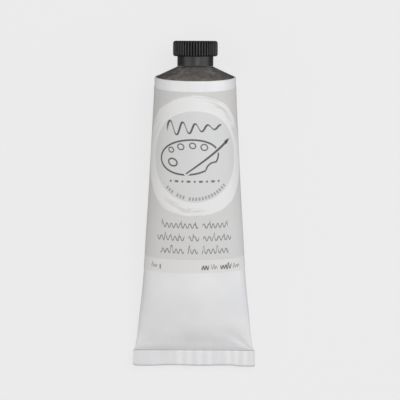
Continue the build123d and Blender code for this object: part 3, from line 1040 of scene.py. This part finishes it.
# ribbed head: the grooves run out through the lower edge and fade over the top one
cap_ring(CAP_HEAD_Y, CAP_HEAD_R - 0.77)
e = 0.75
for k in range(1, 7):
    a = math.pi / 2 * k / 6
    cap_ring(CAP_HEAD_Y + e * (1 - math.cos(a)), CAP_HEAD_R - e + e * math.sin(a), 0.5 + 0.3 * math.sin(a), True)
for y in np.linspace(46.42, 49.40, 9):
    cap_ring(y, CAP_HEAD_R, 0.55, True)
e = 0.80
for k in range(0, 9):
    a = math.pi / 2 * k / 8
    y = CAP_TOP_Y - e + e * math.sin(a)
    cap_ring(y, CAP_HEAD_R - e + e * math.cos(a), 0.50 - 0.35 * math.sin(a), True, 1.0 if k < 3 else max(0.0, 1.0 - (k - 2) / 3.5))
# top face, dished a little, with a gate mark in the middle
for r, dy in ((6.05, -0.002), (5.8, -0.03), (5.6, -0.08), (5.3, -0.10), (3.5, -0.11), (1.35, -0.11), (1.2, -0.14), (1.05, -0.19), (0.55, -0.19), (0.42, -0.12)):
    cap_ring(CAP_TOP_Y + dy, r, 0.1)
cm = len(cap_rings)
cv = np.concatenate(cap_rings + [np.array([[0, CAP_SEAT_Y, NECK_Z], [0, CAP_TOP_Y - 0.10, NECK_Z]])])
cf = grid_faces(cm, NC) + fan_cap(NC, 0, len(cv) - 2, flip=True) + fan_cap(NC, (cm - 1) * NC, len(cv) - 1)
cw = np.zeros((len(cv), 2))
cw[:cm * NC, 0] = np.concatenate(cap_wear)
cw[:cm * NC, 1] = np.concatenate(cap_groove)
# the grooves' floors have a matt material of their own, and its near-black base colour is painted shade
ci = np.zeros(len(cf), np.int32)
floors = np.array(cap_groove) > 0.5
both = floors[:-1] & floors[1:]
ci[:(cm - 1) * NC] = (both & np.roll(both, -1, axis=1)).ravel()
cap = add_mesh("screw_cap", cv, cf, {"mask": cw}, [MAT_CAP, MAT_GROOVE_SHADE], ci, sharp=34, body="cap")
outward(cap)
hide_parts("cap")

# ---- liner: a soft disc, dinted by the nozzle's lip
NI = 120
TI = np.arange(NI) * 2 * math.pi / NI
li = []
prof = [(0.5, LINER_Y0), (2.3, LINER_Y0), (2.6, LINER_Y0 + 0.015), (2.9, LINER_Y0 + 0.03), (3.2, LINER_Y0 + 0.03), (3.5, LINER_Y0 + 0.012),
        (3.8, LINER_Y0), (4.36, LINER_Y0), (4.45, LINER_Y0 + 0.04), (4.49, LINER_Y0 + 0.14), (4.50, LINER_Y0 + 0.3), (4.50, LINER_Y1 - 0.3),
        (4.49, LINER_Y1 - 0.14), (4.45, LINER_Y1 - 0.04), (4.36, LINER_Y1), (2.5, LINER_Y1), (0.5, LINER_Y1)]
for r, y in prof:
    li.append(level_ring(y, r + 0.012 * np.sin(3 * TI + y), TI))
iv = np.concatenate(li + [np.array([[0, LINER_Y0, NECK_Z], [0, LINER_Y1, NECK_Z]])])
iface = grid_faces(len(li), NI) + fan_cap(NI, 0, len(iv) - 2, flip=True) + fan_cap(NI, (len(li) - 1) * NI, len(iv) - 1)
liner = add_mesh("liner_disc", iv, iface, None, [MAT_FOAM], body="liner")
outward(liner)
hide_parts("cap_liner")

# the shell has inward-facing walls of its own; its face normals are recalculated over the whole mesh at once
bm = bmesh.new()
bm.from_mesh(shell.data)
bmesh.ops.recalc_face_normals(bm, faces=bm.faces)
bm.to_mesh(shell.data)
bm.free()
shell.data.update()

# ============================================================ stage, light and camera
def backdrop():
    me = bpy.data.meshes.new("backdrop")
    bm = bmesh.new()
    bmesh.ops.create_grid(bm, x_segments=8, y_segments=8, size=3.0)
    bm.to_mesh(me)
    bm.free()
    ob = bpy.data.objects.new("backdrop", me)
    bpy.context.scene.collection.objects.link(ob)
    ob.location = (0, 0, cad_lo[2] - 0.0002)
    m = Mat("backdrop_paper", Roughness=0.95, Specular_IOR_Level=0.1)
    p = m.place()
    g = m.noise(p, 0.4, 3, 0.6)
    m.set("Base Color", m.mix(g, (0.115, 0.115, 0.115), (0.125, 0.125, 0.125)))
    m.bsdf.inputs["Emission Color"].default_value = (1.0, 1.0, 1.0, 1.0)
    m.bsdf.inputs["Emission Strength"].default_value = FLOOR_GLOW
    me.materials.append(m.m)
    # the floor isn't mirrored in the enamel, so its edges stay thin and dark at grazing angles
    ob.visible_glossy = False
    return ob


FLOOR_GLOW = 0.715
backdrop()

sc = bpy.context.scene
world = bpy.data.worlds.new("studio")
sc.world = world
world.use_nodes = True
wt = world.node_tree
bg = wt.nodes["Background"]
tc = wt.nodes.new("ShaderNodeTexCoord")
sep = wt.nodes.new("ShaderNodeSeparateXYZ")
wt.links.new(tc.outputs["Generated"], sep.inputs[0])
ramp = wt.nodes.new("ShaderNodeValToRGB")
ramp.color_ramp.elements[0].position, ramp.color_ramp.elements[0].color = 0.0, (0.15, 0.15, 0.155, 1)
ramp.color_ramp.elements[1].position, ramp.color_ramp.elements[1].color = 1.0, (0.75, 0.75, 0.76, 1)
wt.links.new(sep.outputs[2], ramp.inputs[0])
wt.links.new(ramp.outputs[0], bg.inputs[0])
bg.inputs[1].default_value = 1.0


def area(name, loc, size, power, color, target=(0, 0, 0.012)):
    d = bpy.data.lights.new(name, "AREA")
    d.shape, d.size, d.size_y = "RECTANGLE", size[0], size[1]
    d.energy, d.color = power, color
    ob = bpy.data.objects.new(name, d)
    bpy.context.scene.collection.objects.link(ob)
    ob.location = loc
    ob.rotation_euler = (Vector(target) - Vector(loc)).to_track_quat("-Z", "Y").to_euler()
    return ob


area("key", (0.26, 0.32, 0.94), (0.60, 0.60), 3.75, (0.985, 0.99, 1.0))
area("fill_left", (-0.75, 0.00, 0.62), (0.40, 0.8), 1.30, (1.0, 0.965, 0.93))
area("fill_right", (0.82, -0.05, 0.38), (0.24, 0.9), 1.45, (0.93, 0.95, 1.0))

cam_d = bpy.data.cameras.new("camera")
cam_d.sensor_width = 36.0
cam_d.clip_start, cam_d.clip_end = 0.1, 10.0
cam = bpy.data.objects.new("camera", cam_d)
sc.collection.objects.link(cam)
TARGET = Vector((0.00165, 0.00091 + CENTRE_Y * MM, 0.0125))
DIST, TILT = 2.0, math.radians(1.5)
cam.location = TARGET + Vector((0, math.sin(TILT) * DIST, math.cos(TILT) * DIST))
back = (cam.location - TARGET).normalized()
ROLL = math.radians(0.27)        # the tube leans this much in the picture
level = Vector((1, 0, 0))
upright = back.cross(level)
side = level * math.cos(ROLL) + upright * math.sin(ROLL)
cam.rotation_euler = Matrix((side, back.cross(side), back)).transposed().to_euler()
cam_d.lens = 579.7
sc.camera = cam
sc.view_settings.view_transform = "Standard"
sc.view_settings.look = "None"

bpy.context.view_layer.update()
